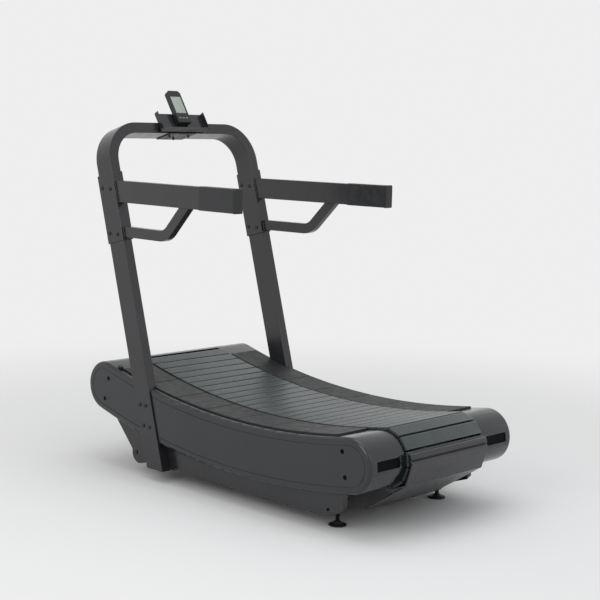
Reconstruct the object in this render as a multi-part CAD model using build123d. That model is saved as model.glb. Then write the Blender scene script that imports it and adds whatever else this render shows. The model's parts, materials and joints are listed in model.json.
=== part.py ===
from build123d import *
import math
import os

# Curved manual treadmill. Millimetres, +Z up. The runner faces -X and their left is -Y.
# The origin is on the floor below the middle of the machine.

# ---------------------------------------------------------------- driving dimensions
ARC_X, ARC_Z = 152.0, 3554.0          # centre of the running curve
MID_R = 3321.0                        # curve through the middle of the side band
FRONT_A, REAR_A = math.radians(-15.76), math.radians(9.90)
BAND_H = 107.0                        # half height of the side band
BAND_EDGE_R = 13.0                    # rounding of its outer edge
BAND_WALL = 5.0
HOLLOW_H = 99.0
OUTER_Y, INNER_Y = 423.5, 231.0       # outer face and open inner side of a side cover
PANEL_H, PANEL_GAP, PANEL_T = 77.0, 1.8, 2.5

SLAT_L, SLAT_W, SLAT_T = 450.0, 55.3, 12.0
SLAT_RISE = 116.5                     # running surface above the middle curve
BELT_T, BELT_W, BELT_Y = 6.0, 30.0, 150.0
PITCH = 61.0                          # nominal slat pitch
FRONT_DRUM_A = math.radians(-14.9)
FRONT_DRUM_R = 84.0                   # over the slats
LOWER_R = 4000.0                      # sag of the return run

PAD_Y0, PAD_Y1, PAD_T = 236.0, 397.0, 12.5
PAD_RISE = 115.5
PAD_A0, PAD_A1 = math.radians(-14.4), math.radians(8.8)
PAD_COUNT, PAD_SEAM, PAD_GROOVE = 7, 1.2, 4.5

SKIRT_Y, SKIRT_T, SKIRT_Z = 385.5, 4.0, 56.0
SKIRT_REAR_X, SKIRT_RISE_X = 665.0, 575.0   # its lower edge slopes up between these
SKIRT_FOLD = 24.0                     # width of the fold at its rear end
SKIRT_IN_Y = 262.0
LOBE_X, LOBE_Z, LOBE_R = -547.0, 88.0, 45.0   # rounded front foot of the skirt
REAR_X = 862.0                        # rearmost point, on the rear cover
COVER_T = 3.0

LEAN = math.radians(15.9)
UP_X, UP_Z = -383.3, 52.0             # foot of the upright's centre line
UP_W, UP_Y0, UP_Y1, TUBE_T = 98.0, 386.5, 430.5, 3.0
UP_TOP = 1060.0                       # length of the lower upright along its lean
ARCH_FOOT = 1082.0                    # where the arch tube starts, along the lean
ARCH_TOP = 1502.0
ARCH_CORNER_R = 170.0
SLEEVE_S0, SLEEVE_S1 = 986.0, 1284.0
SLEEVE_W, SLEEVE_Y0, SLEEVE_Y1 = 107.0, 379.5, 435.0

RAIL_Z0, RAIL_Z1, RAIL_T = 1170.0, 1262.0, 38.0
RAIL_Y, RAIL_SPLAY = 407.0, 2.37
RAIL_END_X, GRIP_X0 = 126.0, -96.0
PIVOT_X = -680.0                      # where the splay of the rails starts
BRACE_Z0, BRACE_Z1, BRACE_T = 1024.0, 1069.0, 30.0
BRACE_BEND_X, BRACE_BEND_R = -325.0, 85.0

BEAM_Y, BEAM_W, BEAM_Z0, BEAM_Z1 = 299.0, 50.0, 64.0, 114.0
BEAM_X0, BEAM_X1 = -520.0, 590.0
STATIONS = (-430.0, -150.0, 130.0, 410.0)
POST_Y0, POST_Y1 = 234.0, 246.0
DECK_RAIL_Y, DECK_RAIL_W = 195.0, 8.0
BEARING_R, BEARING_W = 17.5, 11.0
BEARING_STEP = math.radians(1.05)

FOOT_X_REAR, FOOT_Y_REAR = 558.5, 299.0
FOOT_X_FRONT, FOOT_Y_FRONT = -515.0, 205.0
FOOT_R, STUD_R, STUD_TOP, STUD_GAP = 36.0, 8.0, 85.0, 1.0
WHEEL_X, WHEEL_Z, WHEEL_R, WHEEL_Y = -565.0, 88.0, 38.0, 345.0

SHAFT_R, SHAFT_FIT = 15.0, 0.05
PULLEY_Y, PULLEY_W = 150.0, 40.0
CONSOLE_LEAN = math.radians(33.0)     # of the tray's wall and the display from upright
TRAY_X, TRAY_Z = -722.5, 1472.0       # fold between the tray's wall and its lip
TRAY_W, TRAY_T, TRAY_WALL, TRAY_FLANGE = 268.0, 2.5, 91.0, 25.0
LIP_L, LIP_RISE = 31.0, math.radians(39.0)
DISPLAY_W, DISPLAY_T, DISPLAY_FACE = 76.0, 22.0, 28.9
DISPLAY_S0, DISPLAY_S1 = 32.5, 199.5  # along the tray's wall, from the fold
SCREEN_W, SCREEN_S0, SCREEN_S1, SCREEN_T = 58.0, 82.0, 168.0, 2.0
BUTTON_S, BUTTON_STEP, BUTTON_W, BUTTON_H, BUTTON_T = 56.0, 19.0, 12.0, 8.0, 5.0
BUTTON_PROUD, BUTTON_FIT = 1.4, 0.3

KNOB_X, KNOB_Y, KNOB_R, KNOB_H = -662.0, 400.0, 13.0, 12.0

PARTS = {}


# ---------------------------------------------------------------- helpers
def on_arc(radius, angle):
    """Point (x, z) on a circle about the centre of the running curve; angle 0 is straight down."""
    return ARC_X + radius * math.sin(angle), ARC_Z - radius * math.cos(angle)


def face_xz(edges):
    return Face(Wire(edges))


def prism(points, y0, y1):
    """Straight-sided outline in XZ, from y0 to y1."""
    loop = [(x, y0, z) for x, z in points]
    wire = Wire.make_polygon(loop, close=True)
    return Solid.extrude(Face(wire), Vector(0, y1 - y0, 0))


def band(half, y0, y1):
    """The long curved side profile with round ends, half high on each side of the middle curve."""
    def p(radius, angle):
        x, z = on_arc(radius, angle)
        return Vector(x, y0, z)

    def cap(angle, side):
        x, z = on_arc(MID_R, angle)
        return Vector(x + side * half * math.cos(angle), y0, z + side * half * math.sin(angle))
    top, low, mid = MID_R - half, MID_R + half, (FRONT_A + REAR_A) / 2
    edges = [
        Edge.make_three_point_arc(p(top, FRONT_A), p(top, mid), p(top, REAR_A)),
        Edge.make_three_point_arc(p(top, REAR_A), cap(REAR_A, 1), p(low, REAR_A)),
        Edge.make_three_point_arc(p(low, REAR_A), p(low, mid), p(low, FRONT_A)),
        Edge.make_three_point_arc(p(low, FRONT_A), cap(FRONT_A, -1), p(top, FRONT_A)),
    ]
    return Solid.extrude(face_xz(edges), Vector(0, y1 - y0, 0))


def sector(centre, r0, r1, a0, a1, y0, y1):
    """Ring sector in XZ about centre; angles run from +X towards +Z, in radians."""
    def p(radius, angle):
        return Vector(centre[0] + radius * math.cos(angle), y0, centre[1] + radius * math.sin(angle))
    mid = (a0 + a1) / 2
    edges = [
        Edge.make_three_point_arc(p(r0, a0), p(r0, mid), p(r0, a1)),
        Edge.make_line(p(r0, a1), p(r1, a1)),
        Edge.make_three_point_arc(p(r1, a1), p(r1, mid), p(r1, a0)),
        Edge.make_line(p(r1, a0), p(r0, a0)),
    ]
    return Solid.extrude(face_xz(edges), Vector(0, y1 - y0, 0))


def deck_sector(r0, r1, a0, a1, y0, y1):
    """Ring sector about the centre of the running curve, with angles as in on_arc."""
    return sector((ARC_X, ARC_Z), r0, r1, a0 - math.pi / 2, a1 - math.pi / 2, y0, y1)


def block(x0, x1, y0, y1, z0, z1):
    return Pos((x0 + x1) / 2, (y0 + y1) / 2, (z0 + z1) / 2) * Box(x1 - x0, y1 - y0, z1 - z0)


def rod_y(x, z, radius, y0, y1):
    return Pos(x, (y0 + y1) / 2, z) * Rot(90, 0, 0) * Cylinder(radius, abs(y1 - y0))


def rod_z(x, y, radius, z0, z1):
    return Pos(x, y, (z0 + z1) / 2) * Cylinder(radius, z1 - z0)


def leaning(s, across, y):
    """Place something on the upright: s along the lean, across it towards the runner, y sideways."""
    x = UP_X - s * math.sin(LEAN) + across * math.cos(LEAN)
    z = UP_Z + s * math.cos(LEAN) + across * math.sin(LEAN)
    return Pos(x, y, z) * Rot(0, -math.degrees(LEAN), 0)


def lean_box(s0, s1, width, y0, y1):
    return leaning((s0 + s1) / 2, 0, (y0 + y1) / 2) * Box(width, y1 - y0, s1 - s0)


def mirrored(shape):
    return mirror(shape, about=Plane.XZ)


def group(shapes):
    """Separate solids that share one node."""
    solids = []
    for shape in shapes:
        solids += shape.solids()
    return Compound(children=solids)


def both(shape):
    """A left-hand solid and its mirror image in one node."""
    return group([shape, mirrored(shape)])


def add(name, shape):
    PARTS[name] = shape


def add_pair(name, shape):
    add(name + "_left", shape)
    add(name + "_right", mirrored(shape))


# ---------------------------------------------------------------- belt path
def circle_meet(c0, r0, c1, r1):
    """Upper crossing of two circles."""
    dx, dz = c1[0] - c0[0], c1[1] - c0[1]
    gap = math.hypot(dx, dz)
    along = (r0 * r0 - r1 * r1 + gap * gap) / (2 * gap)
    off = math.sqrt(r0 * r0 - along * along)
    ux, uz = dx / gap, dz / gap
    return c0[0] + along * ux - off * uz, c0[1] + along * uz + off * ux


SLAT_R = MID_R - SLAT_RISE
REAR_DRUM_R = SLAT_RISE
REAR_DRUM = on_arc(MID_R, REAR_A)
FRONT_DRUM = on_arc(SLAT_R + FRONT_DRUM_R, FRONT_DRUM_A)
LOWER_C = circle_meet(FRONT_DRUM, LOWER_R - FRONT_DRUM_R, REAR_DRUM, LOWER_R - REAR_DRUM_R)


def direction(start, end):
    return math.atan2(end[1] - start[1], end[0] - start[0])


REAR_LOW_A = direction(LOWER_C, REAR_DRUM)
FRONT_LOW_A = direction(LOWER_C, FRONT_DRUM)

# Each run: centre, radius over the slats, start angle, end angle, side the slats face.
# The belt travels towards +X on top, down round the rear drum and back below.
RUNS = {
    "top_run": ((ARC_X, ARC_Z), SLAT_R, FRONT_DRUM_A - math.pi / 2, REAR_A - math.pi / 2, -1),
    "rear_turn": (REAR_DRUM, REAR_DRUM_R, math.pi / 2 + REAR_A, REAR_LOW_A, 1),
    "return_run": (LOWER_C, LOWER_R, REAR_LOW_A, FRONT_LOW_A, 1),
    "front_turn": (FRONT_DRUM, FRONT_DRUM_R, FRONT_LOW_A, FRONT_DRUM_A - 3 * math.pi / 2, 1),
}


def run_steps(run):
    """Number of slats on a run, and the angle from one to the next."""
    centre, radius, start, end, side = RUNS[run]
    belt_line = radius - side * SLAT_T
    count = round(abs(end - start) * belt_line / PITCH)
    return count, (end - start) / count


def slat_at(run, index):
    """One slat, with its outer face touching the run's radius."""
    centre, radius, start, end, side = RUNS[run]
    angle = start + index * run_steps(run)[1]
    out = Vector(math.cos(angle), 0, math.sin(angle))
    depth = radius - side * SLAT_T / 2
    middle = Vector(centre[0], 0, centre[1]) + out * depth
    plank = Box(SLAT_L, SLAT_W, SLAT_T)
    plank = chamfer(plank.edges().filter_by(Axis.X), 1.6)
    return Plane(origin=middle, x_dir=(0, 1, 0), z_dir=out) * plank


def belt_strips(run):
    """The two belts of a run; one pitch is left open at its end for the travel."""
    centre, radius, start, end, side = RUNS[run]
    step = run_steps(run)[1]
    margin = 0.06 * step
    r_slat = radius - side * (SLAT_T + 0.15)
    r_back = r_slat - side * BELT_T
    strip = sector(centre, r_back, r_slat, start + margin, end - step - margin,
                   -BELT_Y - BELT_W / 2, -BELT_Y + BELT_W / 2)
    return both(strip)


def belt():
    for run in RUNS:
        count = run_steps(run)[0]
        add("slats_" + run, group([slat_at(run, i) for i in range(count)]))
        add("belts_" + run, belt_strips(run))


# ---------------------------------------------------------------- drums
def pulleys(centre, radius):
    """Two belt pulleys with flanges outside the belt and a lightened web."""
    y0 = -PULLEY_Y - PULLEY_W / 2
    y1 = -PULLEY_Y + PULLEY_W / 2
    wheel = rod_y(centre[0], centre[1], radius, y0, y1)
    wheel -= rod_y(centre[0], centre[1], SHAFT_R, y0 - 1, y1 + 1)
    for k in range(6):
        a = k * math.pi / 3
        reach = (radius + SHAFT_R) / 2
        hole = rod_y(centre[0] + reach * math.cos(a), centre[1] + reach * math.sin(a),
                     (radius - SHAFT_R) * 0.27, y0 - 1, y1 + 1)
        wheel -= hole
    return both(wheel)


SHAFT_END_Y, BLOCK_Y0, BLOCK_Y1 = 290.0, 256.0, 282.0
PLATE_Y0, PLATE_Y1 = 247.0, 255.5


def drums():
    for name, centre, over in (("rear", REAR_DRUM, REAR_DRUM_R), ("front", FRONT_DRUM, FRONT_DRUM_R)):
        add(name + "_pulleys", pulleys(centre, over - SLAT_T - BELT_T - 0.4))
        add(name + "_shaft", rod_y(centre[0], centre[1], SHAFT_R, -SHAFT_END_Y, SHAFT_END_Y))
    blocks = []
    for centre in (REAR_DRUM, FRONT_DRUM):
        x, z = centre
        body = block(x - 40, x + 40, -BLOCK_Y1, -BLOCK_Y0, z - 22, z + 22)
        body += rod_y(x, z, 30, -BLOCK_Y1, -BLOCK_Y0)
        body -= rod_y(x, z, SHAFT_R + SHAFT_FIT, -BLOCK_Y1 - 1, -BLOCK_Y0 + 1)
        blocks.append(both(body))
    add("shaft_bearings", group(blocks))


# ---------------------------------------------------------------- base frame
def tube_y(x, z, width, height, y0, y1, wall=3.0):
    outer = block(x - width / 2, x + width / 2, y0, y1, z - height / 2, z + height / 2)
    inner = block(x - width / 2 + wall, x + width / 2 - wall, y0 - 1, y1 + 1,
                  z - height / 2 + wall, z + height / 2 - wall)
    return outer - inner


DECK_RAIL_R0 = MID_R - SLAT_RISE + SLAT_T + 2 * BEARING_R + 1.0
DECK_RAIL_R1 = DECK_RAIL_R0 + 12.0


def base_frame():
    beam = block(BEAM_X0, BEAM_X1, -BEAM_Y - BEAM_W / 2, -BEAM_Y + BEAM_W / 2, BEAM_Z0, BEAM_Z1)
    beam -= block(BEAM_X0 - 1, BEAM_X1 + 1, -BEAM_Y - BEAM_W / 2 + 3, -BEAM_Y + BEAM_W / 2 - 3,
                  BEAM_Z0 + 3, BEAM_Z1 - 3)
    beam -= rod_z(FOOT_X_REAR, -FOOT_Y_REAR, STUD_R + STUD_GAP, BEAM_Z0 - 1, BEAM_Z0 + 4)
    add("base_beams", both(beam))

    inside = BEAM_Y - BEAM_W / 2
    ties = [tube_y(x, 84, 50, 40, -inside, inside) for x in STATIONS]
    front_tie = tube_y(FOOT_X_FRONT, 84, 50, 40, -inside, inside)
    for y in (-FOOT_Y_FRONT, FOOT_Y_FRONT):
        front_tie -= rod_z(FOOT_X_FRONT, y, STUD_R + STUD_GAP, 63, 68)
    ties.append(front_tie)
    add("cross_members", group(ties))

    pieces = []
    for x in STATIONS:
        top = ARC_Z - math.sqrt(DECK_RAIL_R1 ** 2 - (x - ARC_X) ** 2) - 9.0
        pieces.append(both(block(x - 25, x + 25, -POST_Y1, -POST_Y0, 104, top)))
        pieces.append(tube_y(x, top - 18, 40, 32, -POST_Y0, POST_Y0))
    for plate in (rear_plate(), front_plate()):
        pieces.append(both(plate))
    add("deck_posts", group(pieces))

    rail = deck_sector(DECK_RAIL_R0 - 24, DECK_RAIL_R1 + 14, math.radians(-12.9), math.radians(8.6),
                       -DECK_RAIL_Y, -DECK_RAIL_Y + DECK_RAIL_W)
    for x in STATIONS:
        top = ARC_Z - math.sqrt(DECK_RAIL_R1 ** 2 - (x - ARC_X) ** 2) - 9.0
        rail -= block(x - 20.5, x + 20.5, -DECK_RAIL_Y - 1, -DECK_RAIL_Y + DECK_RAIL_W + 1, top - 40, top - 2)
    add("bearing_rails", both(rail))
    add("guide_bearings", guide_bearings())


def guide_bearings():
    """Ball bearings along each rail, carrying the slats; each has its bolt through the rail."""
    rollers = []
    r_axle = MID_R - SLAT_RISE + SLAT_T + BEARING_R + 0.4
    angle = math.radians(-12.6)
    while angle < math.radians(8.4):
        x, z = on_arc(r_axle, angle)
        y0 = -DECK_RAIL_Y - BEARING_W
        ring = rod_y(x, z, BEARING_R, y0, -DECK_RAIL_Y)
        rollers.append(both(ring))
        angle += BEARING_STEP
    return group(rollers)


def rear_plate():
    return prism([(500, 114.5), (592, 114.5), (597, 200), (690, 225), (775, 246), (775, 318), (690, 330),
                  (560, 255)], -PLATE_Y1, -PLATE_Y0) - rod_y(*REAR_DRUM, SHAFT_R + 4, -PLATE_Y1 - 1, -PLATE_Y0 + 1)


def front_plate():
    x, z = FRONT_DRUM
    outline = [(-505, 114.5), (-400, 114.5), (-470, 250), (-600, 380), (x + 30, z + 34), (x - 42, z + 30),
               (x - 42, z - 34), (-600, 290), (-560, 200)]
    return prism(outline, -PLATE_Y1, -PLATE_Y0) - rod_y(x, z, SHAFT_R + 4, -PLATE_Y1 - 1, -PLATE_Y0 + 1)


# ---------------------------------------------------------------- covers
def upright_slot(margin):
    return lean_box(-20, 620, UP_W + 2 * margin, -UP_Y1 - 20, -UP_Y0 + margin)


def side_cover():
    outer = band(BAND_H, -OUTER_Y, -INNER_Y)
    rim = [e for e in outer.edges() if abs(e.center().Y + OUTER_Y) < 0.01]
    outer = fillet(rim, BAND_EDGE_R)
    outer -= band(HOLLOW_H, -OUTER_Y + BAND_WALL, -INNER_Y + 1)
    outer -= deck_sector(MID_R - BAND_H - 5, MID_R - PAD_RISE + PAD_T, PAD_A0, PAD_A1,
                         -PAD_Y1 - PAD_GROOVE, -INNER_Y + 1)
    outer -= band(PANEL_H + PANEL_GAP, -OUTER_Y - 1, -OUTER_Y + PANEL_T)
    outer -= block(-640, 600, -POST_Y1 - 18, -INNER_Y + 1, 60, 250)
    outer -= upright_slot(0.5)
    for x, z in SIDE_SCREWS:
        outer -= rod_y(x, z, SCREW_R + 0.2, -OUTER_Y - 1, -OUTER_Y + BAND_WALL + 1)
    return outer


SIDE_SCREWS = [(-715.5, 395.4), (-740.7, 303.2), (687.5, 331.2), (704.5, 237.0)]
SCREW_R, SCREW_HEAD_R, SCREW_SUNK = 4.0, 9.0, 1.4


def side_panel():
    panel = band(PANEL_H, -OUTER_Y, -OUTER_Y + PANEL_T)
    panel -= upright_slot(0.5)
    for x, z in SIDE_SCREWS:
        panel -= rod_y(x, z, SCREW_HEAD_R + 0.3, -OUTER_Y - 1, -OUTER_Y + PANEL_T + 1)
    return group(panel.solids())


def foot_pads():
    pads = []
    step = (PAD_A1 - PAD_A0) / PAD_COUNT
    seam = PAD_SEAM / MID_R
    for k in range(PAD_COUNT):
        pad = deck_sector(MID_R - PAD_RISE, MID_R - PAD_RISE + PAD_T - 0.1, PAD_A0 + k * step + seam,
                          PAD_A0 + (k + 1) * step - seam, -PAD_Y1, -PAD_Y0)
        pads.append(pad - upright_slot(1.5))
    return group(pads)


def skirt():
    """Lower side panel, folded inwards at both ends and open below."""
    front = [(-732, 250), (-710, 222.6), (-591.6, 99.5)]
    lobe = [(LOBE_X + LOBE_R * math.cos(a), LOBE_Z + LOBE_R * math.sin(a))
            for a in [math.radians(172 + 14 * k) for k in range(9)]]
    outline = front + lobe + [(-490, SKIRT_Z), (SKIRT_RISE_X, SKIRT_Z), (SKIRT_REAR_X - 19, SKIRT_Z + 25),
                              (SKIRT_REAR_X, SKIRT_Z + 44), (SKIRT_REAR_X, 260), (-600, 300)]
    shell = prism(outline, -SKIRT_Y, -SKIRT_IN_Y)
    inside = [(-722, 262), (-700, 226), (-584, 108), (-584, 20), (SKIRT_REAR_X - SKIRT_T, 20),
              (SKIRT_REAR_X - SKIRT_T, 270), (-600, 310)]
    shell -= prism(inside, -SKIRT_Y + SKIRT_T, -SKIRT_IN_Y + 1)
    shell -= block(-660, -486, -SKIRT_Y + SKIRT_T, -SKIRT_IN_Y + 1, 20, 142)
    shell -= block(SKIRT_REAR_X - SKIRT_T - 1, SKIRT_REAR_X + 1, -SKIRT_Y + SKIRT_FOLD, -SKIRT_IN_Y + 1, 20, 270)
    shell -= band(BAND_H + 0.5, -SKIRT_Y - 1, -SKIRT_IN_Y + 2)
    shell -= lean_box(-20, 400, UP_W + 2, -UP_Y1, -SKIRT_Y + 0.4)
    shell -= rod_y(WHEEL_X, WHEEL_Z, 6.2, -SKIRT_Y - 1, -SKIRT_Y + SKIRT_T + 1)
    return max(shell.solids(), key=lambda s: s.volume)


def front_cover():
    shell = band(BAND_H, -INNER_Y + 1, INNER_Y - 1) - band(BAND_H - 4, -INNER_Y, INNER_Y)
    keep = block(-900, -734, -300, 300, 330, 600) + block(-900, -640, -300, 300, 200, 331)
    return max((shell & keep).solids(), key=lambda s: s.volume)


REAR_COVER_Y = 229.0


def rear_cover():
    """Folded sheet between the rear cheeks: lip bar, crease, sloping panel and lower panel."""
    outline = [(843, 321), (851, 318), (858, 301), (851, 295), (REAR_X, 286), (REAR_X - 28, 194), (640, 70),
               (634, 62), (634, 72), (828, 197), (REAR_X - 8, 284), (846, 294), (852, 302), (847, 314),
               (841.5, 318)]
    sheet = prism(outline, -REAR_COVER_Y, REAR_COVER_Y)
    return sheet


INSERT_A0, INSERT_A1 = math.radians(-4.5), math.radians(15.5)
INSERT_Y0, INSERT_Y1, INSERT_SUNK, INSERT_FIT = 261.0, 386.0, 3.2, 0.3


def rear_insert():
    """Panel sunk into the rear of a side cover."""
    return sector(REAR_DRUM, BAND_H - 6, BAND_H - INSERT_SUNK, INSERT_A0, INSERT_A1, -INSERT_Y1, -INSERT_Y0)


def covers():
    fit = INSERT_FIT / BAND_H
    side = side_cover() - sector(REAR_DRUM, BAND_H - 6.2, BAND_H + 5, INSERT_A0 - fit, INSERT_A1 + fit,
                                 -INSERT_Y1 - INSERT_FIT, -INSERT_Y0 + INSERT_FIT)
    add_pair("side_cover", max(side.solids(), key=lambda s: s.volume))
    panel = side_panel()
    add("side_panels", both(panel))
    add_pair("foot_pads", foot_pads())
    add_pair("skirt", skirt())
    add("front_cover", front_cover())
    add("rear_cover", rear_cover())
    add("rear_inserts", both(rear_insert()))


# ---------------------------------------------------------------- uprights and arch
def hollow_lean(s0, s1, width, y0, y1, wall):
    return lean_box(s0, s1, width, y0, y1) - lean_box(s0 - 1, s1 + 1, width - 2 * wall, y0 + wall, y1 - wall)


def arch():
    """Inverted U in the leaning plane, one bent rectangular tube."""
    def u_shape(edge_y, top, corner, foot):
        loop = [(-edge_y, foot), (-edge_y, top - corner), (-edge_y + corner, top), (edge_y - corner, top),
                (edge_y, top - corner), (edge_y, foot)]
        a = corner * (1 - math.sqrt(0.5))
        v = [Vector(0, y, s) for y, s in loop]
        return [Edge.make_line(v[0], v[1]),
                Edge.make_three_point_arc(v[1], Vector(0, -edge_y + a, top - a), v[2]),
                Edge.make_line(v[2], v[3]),
                Edge.make_three_point_arc(v[3], Vector(0, edge_y - a, top - a), v[4]),
                Edge.make_line(v[4], v[5])]

    def u_solid(offset, width, foot):
        out_y, in_y = UP_Y1 - offset, UP_Y0 - 3 + offset
        outer = u_shape(out_y, ARCH_TOP - offset, ARCH_CORNER_R - offset, foot)
        depth = out_y - in_y
        inner = u_shape(in_y, ARCH_TOP - offset - depth, ARCH_CORNER_R - offset - depth, foot)
        wire = Wire(outer + inner + [Edge.make_line(outer[0] @ 0, inner[0] @ 0),
                                     Edge.make_line(outer[-1] @ 1, inner[-1] @ 1)])
        solid = Solid.extrude(Face(wire), Vector(width, 0, 0))
        return Pos(-width / 2, 0, 0) * solid
    tube = u_solid(0, UP_W, ARCH_FOOT) - u_solid(TUBE_T, UP_W - 2 * TUBE_T, ARCH_FOOT - 5)
    return Pos(UP_X, 0, UP_Z) * Rot(0, -math.degrees(LEAN), 0) * tube


def posts():
    tube = hollow_lean(-40, UP_TOP, UP_W, -UP_Y1, -UP_Y0, TUBE_T)
    tube -= block(-700, 0, -500, -300, -200, UP_Z)
    add_pair("upright", tube)
    cap_lower = lean_box(-40, 40, UP_W - 2 * TUBE_T - 1, -UP_Y1 + TUBE_T + 0.5, -UP_Y0 - TUBE_T - 0.5)
    cap_lower &= block(-700, 0, -500, -300, UP_Z, UP_Z + 8)
    plug_top = lean_box(UP_TOP, UP_TOP + 3, UP_W - 2, -UP_Y1 + 1, -UP_Y0 - 1)
    add("upright_caps", group([both(cap_lower), both(plug_top)]))
    add("arch_tube", arch())
    outer = lean_box(SLEEVE_S0, SLEEVE_S1, SLEEVE_W, -SLEEVE_Y1, -SLEEVE_Y0)
    hollow = lean_box(SLEEVE_S0 - 1, SLEEVE_S1 + 1, UP_W + 0.8, -UP_Y1 - 0.4, -UP_Y0 + 3.4)
    add("sleeves", both(outer - hollow))
    return outer


def splayed(shape):
    """Turn a left-hand handrail piece outwards about its root at the sleeve."""
    return Pos(PIVOT_X, -RAIL_Y, 0) * Rot(0, 0, -RAIL_SPLAY) * Pos(-PIVOT_X, RAIL_Y, 0) * shape


def handrails(sleeve):
    rail = block(-760, RAIL_END_X - 12, -RAIL_Y - RAIL_T / 2, -RAIL_Y + RAIL_T / 2, RAIL_Z0, RAIL_Z1)
    rail = fillet(rail.edges().filter_by(Axis.X), 3)
    rail -= block(-761, RAIL_END_X, -RAIL_Y - RAIL_T / 2 + 2.5, -RAIL_Y + RAIL_T / 2 - 2.5,
                  RAIL_Z0 + 2.5, RAIL_Z1 - 2.5)
    keep_back = lean_box(900, 1400, 400, -600, -200)
    keep_back = Pos(-200, 0, 0) * keep_back
    shaped = splayed(rail) - sleeve - keep_back
    add_pair("handrail", max(shaped.solids(), key=lambda s: s.volume))

    grip = block(GRIP_X0, RAIL_END_X - 12.5, -RAIL_Y - RAIL_T / 2 - 2.2, -RAIL_Y + RAIL_T / 2 + 2.2,
                 RAIL_Z0 - 2.2, RAIL_Z1 + 2.2)
    grip = fillet(grip.edges().filter_by(Axis.X), 5)
    grip -= block(GRIP_X0 - 1, RAIL_END_X, -RAIL_Y - RAIL_T / 2 - 0.1, -RAIL_Y + RAIL_T / 2 + 0.1,
                  RAIL_Z0 - 0.1, RAIL_Z1 + 0.1)
    add("grips", both(splayed(grip)))

    cap = block(RAIL_END_X - 12, RAIL_END_X, -RAIL_Y - RAIL_T / 2 - 3, -RAIL_Y + RAIL_T / 2 + 3,
                RAIL_Z0 - 3, RAIL_Z1 + 3)
    cap = fillet(cap.edges().filter_by(Axis.X), 5)
    cap = fillet(cap.faces().sort_by(Axis.X)[-1].edges(), 4)
    add("handrail_caps", both(splayed(cap)))

    add_pair("brace", brace(sleeve, keep_back))


def brace(sleeve, keep_back):
    """Bent square tube: level from the sleeve, then up to the underside of the rail."""
    height = BRACE_Z1 - BRACE_Z0
    rise = RAIL_Z0 - BRACE_Z1 + height
    y0 = -RAIL_Y - BRACE_T / 2
    mid_z = (BRACE_Z0 + BRACE_Z1) / 2
    path = FilletPolyline((-740, 0, mid_z), (BRACE_BEND_X, 0, mid_z),
                          (BRACE_BEND_X + rise + 60, 0, mid_z + rise + 60), radius=BRACE_BEND_R)
    section = Plane(origin=path @ 0, x_dir=(0, 1, 0), z_dir=path % 0) * Rectangle(BRACE_T, height)
    hollow = Plane(origin=path @ 0, x_dir=(0, 1, 0), z_dir=path % 0) * Rectangle(BRACE_T - 5, height - 5)
    bar = sweep(section, path=path) - sweep(hollow, path=path)
    bar = Pos(0, y0 + BRACE_T / 2, 0) * bar
    bar -= block(-900, 500, -600, -200, RAIL_Z0 - 0.05, 1500)
    bar = splayed(bar) - sleeve - keep_back
    return max(bar.solids(), key=lambda s: s.volume)


# ---------------------------------------------------------------- fasteners
BOLT_ROWS_Z, BOLT_STEP, BOLT_SHIFT = (1033.0, 1224.0), 55.0, -7.0


def fasteners():
    bolts = []
    for z in BOLT_ROWS_Z:
        for across in (-BOLT_STEP / 2, BOLT_STEP / 2):
            x = UP_X - (z - UP_Z) * math.tan(LEAN) + BOLT_SHIFT + across
            bolts.append(both(bolt_head(x, z, -SLEEVE_Y1, -1)))
            bolts.append(both(bolt_head(x, z, -SLEEVE_Y0, 1)))
    for x, z in ((-486.3, 317.2), (-449.0, 317.2), (-460.7, 230.3), (-421.6, 229.3)):
        bolts.append(both(bolt_head(x, z, -UP_Y1, -1)))
    add("frame_bolts", group(bolts))
    screws = []
    for x, z in SIDE_SCREWS:
        head = rod_y(x, z, SCREW_HEAD_R, -OUTER_Y + SCREW_SUNK, -OUTER_Y + PANEL_T)
        head -= rod_y(x, z, SCREW_R, -OUTER_Y + SCREW_SUNK - 1, -OUTER_Y + SCREW_SUNK + 0.6)
        screws.append(both(head + rod_y(x, z, SCREW_R, -OUTER_Y + PANEL_T, -OUTER_Y + 14)))
    screws.append(both(bolt_head(588, 84.4, -SKIRT_Y, -1, 5.5)))
    add("cover_screws", group(screws))


def bolt_head(x, z, y_face, outwards, head_r=8.5, head_h=4.0):
    """Button head on a face of a left-hand part; outwards is -1 for an outer face, 1 for an inner one."""
    y_top = y_face + outwards * head_h
    head = rod_y(x, z, head_r, min(y_face, y_top), max(y_face, y_top))
    top_edge = [e for e in head.edges() if abs(e.center().Y - y_top) < 0.01 and e.geom_type == GeomType.CIRCLE]
    head = fillet(top_edge, head_h * 0.55)
    recess = rod_y(x, z, head_r * 0.38, min(y_top, y_top - outwards * 1.6), max(y_top, y_top - outwards * 1.6))
    return head - recess


# ---------------------------------------------------------------- feet and wheels
def foot(x, y):
    pad = rod_z(x, y, FOOT_R, 0, 7)
    pad = fillet(pad.edges().group_by(Axis.Z)[-1], 3)
    pad += Pos(x, y, 7) * extrude(Circle(20), 9, taper=35)
    stud = rod_z(x, y, STUD_R, 16, STUD_TOP)
    return pad + stud


def feet():
    nuts = []
    for fx, fy, where in ((FOOT_X_REAR, FOOT_Y_REAR, "rear"), (FOOT_X_FRONT, FOOT_Y_FRONT, "front")):
        add_pair("foot_" + where, foot(fx, -fy))
        nut = extrude(RegularPolygon(13, 6), 8) - Cylinder(STUD_R + 0.3, 30)
        nuts.append(both(Pos(fx, -fy, 55.5) * nut))
    add("foot_nuts", group(nuts))


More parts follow.
